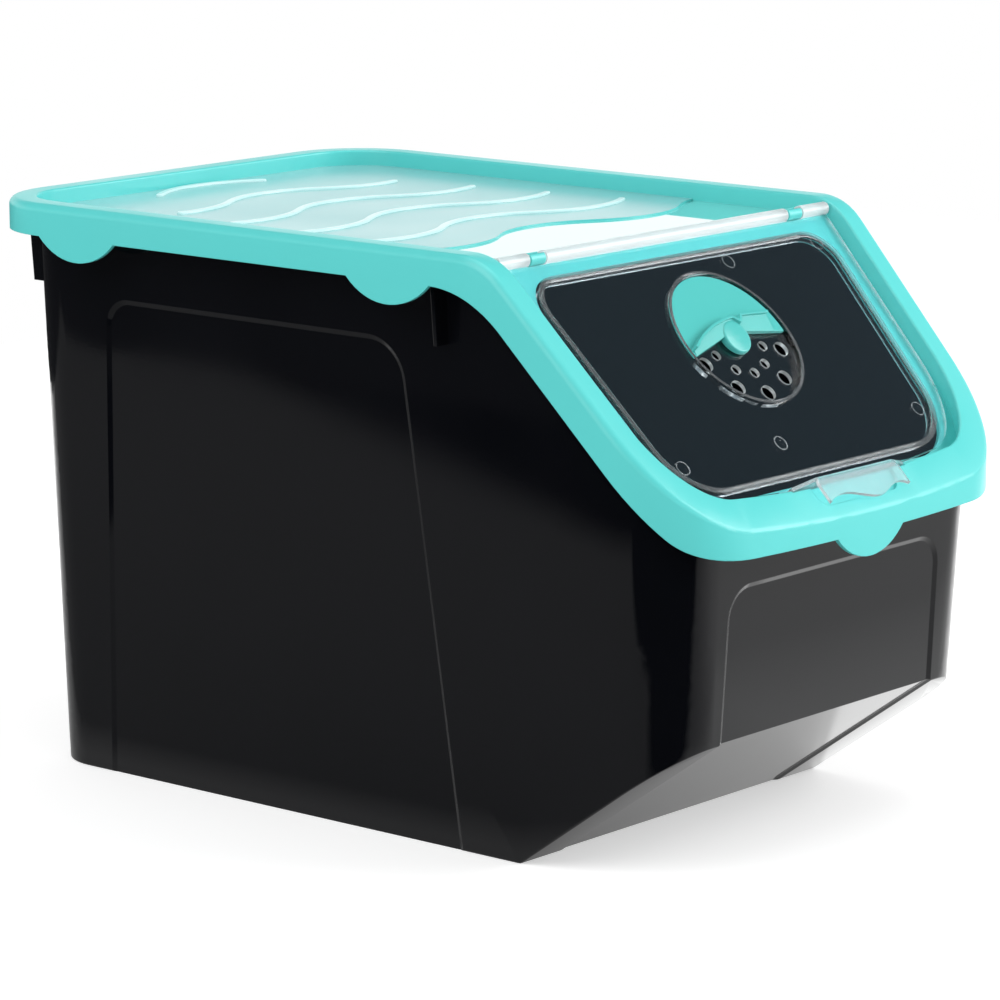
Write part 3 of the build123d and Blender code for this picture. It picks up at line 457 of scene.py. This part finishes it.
def floor_material():
    """White paper floor, lifted to the backdrop's white where the camera or a reflection sees it.

    Reflections alone see painted reflections on it: dark patches left of the object, before its
    near corner and before its nose, and a glowing white patch to the right of it.
    """
    material, tree = new_material("white_paper_floor")
    rays = add_node(tree, "ShaderNodeLightPath").outputs
    mirrored = rays["Is Glossy Ray"]
    place = add_node(tree, "ShaderNodeTexCoord").outputs["Object"]
    along = add_node(tree, "ShaderNodeSeparateXYZ", {"Vector": place}).outputs
    slanted = add_node(
        tree,
        "ShaderNodeMath",
        {0: along["Y"], 1: FAR_LEFT_DARK_REFLECTION_SLOPE, 2: along["X"]},
        operation="MULTIPLY_ADD",
    )
    left, far_left, corner_x, corner_y, front, shade, white_x, white_y = (
        add_node(
            tree,
            "ShaderNodeMapRange",
            {"Value": value, "From Min": start, "From Max": end, "To Min": least},
        )
        for value, (start, end, least) in (
            (along["X"], LEFT_DARK_REFLECTION_X),
            (slanted, FAR_LEFT_DARK_REFLECTION_X),
            (along["X"], CORNER_DARK_REFLECTION_X),
            (along["Y"], CORNER_DARK_REFLECTION_Y),
            (along["Y"], FRONT_DARK_REFLECTION_Y),
            (along["X"], FADING_REFLECTION_X),
            (along["X"], WHITE_REFLECTION_X),
            (along["Y"], WHITE_REFLECTION_Y),
        )
    )

    seen = rays["Is Camera Ray"]
    for ray in (rays["Is Transmission Ray"], mirrored):
        seen = add_node(tree, "ShaderNodeMath", {0: seen, 1: ray}, operation="MAXIMUM")
    lift = add_node(tree, "ShaderNodeMath", {0: seen, 1: FLOOR_LIFT}, operation="MULTIPLY")
    # Painted white reflection: right of the object the floor glows for reflections alone
    painted_white_reflection = white_x
    for share in (white_y, mirrored):
        painted_white_reflection = add_node(
            tree, "ShaderNodeMath", {0: painted_white_reflection, 1: share}, operation="MULTIPLY"
        )
    glow = add_node(
        tree,
        "ShaderNodeMath",
        {0: painted_white_reflection, 1: WHITE_REFLECTION_GLOW, 2: lift},
        operation="MULTIPLY_ADD",
    )
    paper = add_node(
        tree,
        "ShaderNodeBsdfPrincipled",
        {"Base Color": linear("#E6E6E6"), "Roughness": 0.9, "Specular IOR Level": 0.0},
    )
    light = add_node(tree, "ShaderNodeEmission", {"Color": linear("#FFFFFF"), "Strength": glow})
    lit_paper = add_node(tree, "ShaderNodeAddShader", {0: paper, 1: light})

    # Painted dark reflections: where this share is low, reflections see the floor turned black
    corner = add_node(tree, "ShaderNodeMath", {0: corner_x, 1: corner_y}, operation="MAXIMUM")
    bright = left
    for share in (far_left, corner, front, shade):
        bright = add_node(tree, "ShaderNodeMath", {0: bright, 1: share}, operation="MULTIPLY")
    dark = add_node(tree, "ShaderNodeMath", {0: 1.0, 1: bright}, operation="SUBTRACT")
    painted_dark_reflection = add_node(tree, "ShaderNodeMath", {0: dark, 1: mirrored}, operation="MULTIPLY")
    black = add_node(tree, "ShaderNodeEmission", {"Color": linear("#000000"), "Strength": 0.0})
    whole = add_node(tree, "ShaderNodeMixShader", {0: painted_dark_reflection, 1: lit_paper, 2: black})
    add_node(tree, "ShaderNodeOutputMaterial", {"Surface": whole})
    return material


bpy.ops.mesh.primitive_plane_add(size=1.0)
floor = bpy.context.object
floor.name = "floor"
floor.scale = (FLOOR_X[1] - FLOOR_X[0], FLOOR_Y[1] - FLOOR_Y[0], 1)
floor.location = (sum(FLOOR_X) / 2, sum(FLOOR_Y) / 2, 0)
bpy.ops.object.transform_apply(location=True, rotation=True, scale=True)
floor.data.materials.append(floor_material())

# Studio: light that fills the shadows, and what reflections see from the horizon, 0, to overhead, 1
FILL = 0.64
HORIZON = 1.2
BELOW = (0.03, 0.03, 0.032)
WHITE = (1, 1, 1)
DIM_SKY = (0.09, 0.13, 0.16)
ZENITH = (2.5, 2.5, 2.5)
SKY_STOPS = (
    (0.0, BELOW),
    (0.004, WHITE),
    (0.30, WHITE),
    (0.42, DIM_SKY),
    (0.78, DIM_SKY),
    (1.0, ZENITH),
)
SIGHT_HEIGHT = 0.02


def studio_world():
    """White to the camera and through the clear plastic, and a plain fill for dull surfaces.

    Reflections see a bright band above the horizon, a dim sky and a bright ceiling.
    """
    world = bpy.data.worlds.new("studio")
    bpy.context.scene.world = world
    world.use_nodes = True
    tree = world.node_tree
    tree.nodes.clear()
    rays = add_node(tree, "ShaderNodeLightPath").outputs
    direction = add_node(tree, "ShaderNodeTexCoord").outputs["Generated"]
    height = add_node(tree, "ShaderNodeSeparateXYZ", {"Vector": direction}).outputs["Z"]
    sky = add_node(tree, "ShaderNodeValToRGB", {"Fac": height})
    stops = sky.color_ramp.elements
    for position, _ in SKY_STOPS[1:-1]:
        stops.new(position)
    for stop, (_, colour) in zip(stops, SKY_STOPS):
        stop.color = (*colour, 1)
    reflected, fill, white = (
        add_node(tree, "ShaderNodeBackground", {"Color": colour, "Strength": strength})
        for colour, strength in (
            (sky, HORIZON),
            ((*WHITE, 1), FILL),
            ((*WHITE, 1), 1.0),
        )
    )
    mirrored = add_node(
        tree,
        "ShaderNodeMath",
        {0: rays["Is Glossy Ray"], 1: rays["Is Transmission Ray"]},
        operation="MAXIMUM",
    )
    lighting = add_node(tree, "ShaderNodeMixShader", {0: mirrored, 1: fill, 2: reflected})
    # Light thrown back up by the clear plastic's rear face leaves it like a reflection, so what is
    # seen through that plastic is white up to this height only
    level = add_node(tree, "ShaderNodeMath", {0: height, 1: SIGHT_HEIGHT}, operation="LESS_THAN")
    through = add_node(
        tree, "ShaderNodeMath", {0: rays["Is Transmission Ray"], 1: level}, operation="MULTIPLY"
    )
    seen = add_node(
        tree, "ShaderNodeMath", {0: rays["Is Camera Ray"], 1: through}, operation="MAXIMUM"
    )
    whole = add_node(tree, "ShaderNodeMixShader", {0: seen, 1: lighting, 2: white})
    add_node(tree, "ShaderNodeOutputWorld", {"Surface": whole})


studio_world()


def soft_lamp(name, place, target, size, power):
    """Square softbox at a place, turned to a target."""
    lamp = bpy.data.lights.new(name, "AREA")
    lamp.shape = "SQUARE"
    lamp.size = size
    lamp.energy = power
    holder = bpy.data.objects.new(name, lamp)
    bpy.context.scene.collection.objects.link(holder)
    holder.location = place
    holder.rotation_euler = (Vector(target) - Vector(place)).to_track_quat("-Z", "Y").to_euler()


# A large softbox in front on the right, and a dimmer one over the left side
soft_lamp("front_softbox", place=(1.25, -1.65, 1.0), target=(0, -0.1, 0.14), size=1.5, power=40)
soft_lamp("left_softbox", place=(-1.4, 0.1, 1.25), target=(0, 0, 0.2), size=1.4, power=15)

camera = bpy.data.objects.new("camera", bpy.data.cameras.new("camera"))
bpy.context.scene.collection.objects.link(camera)
camera.data.lens = CAMERA_LENS
camera.data.sensor_width = SENSOR
camera.data.clip_end = CAMERA_REACH
camera.location = CAMERA_PLACE
camera.rotation_euler = (math.pi / 2 - CAMERA_DOWN, 0, CAMERA_TURN)
bpy.context.scene.camera = camera
bpy.context.scene.view_settings.view_transform = "Standard"
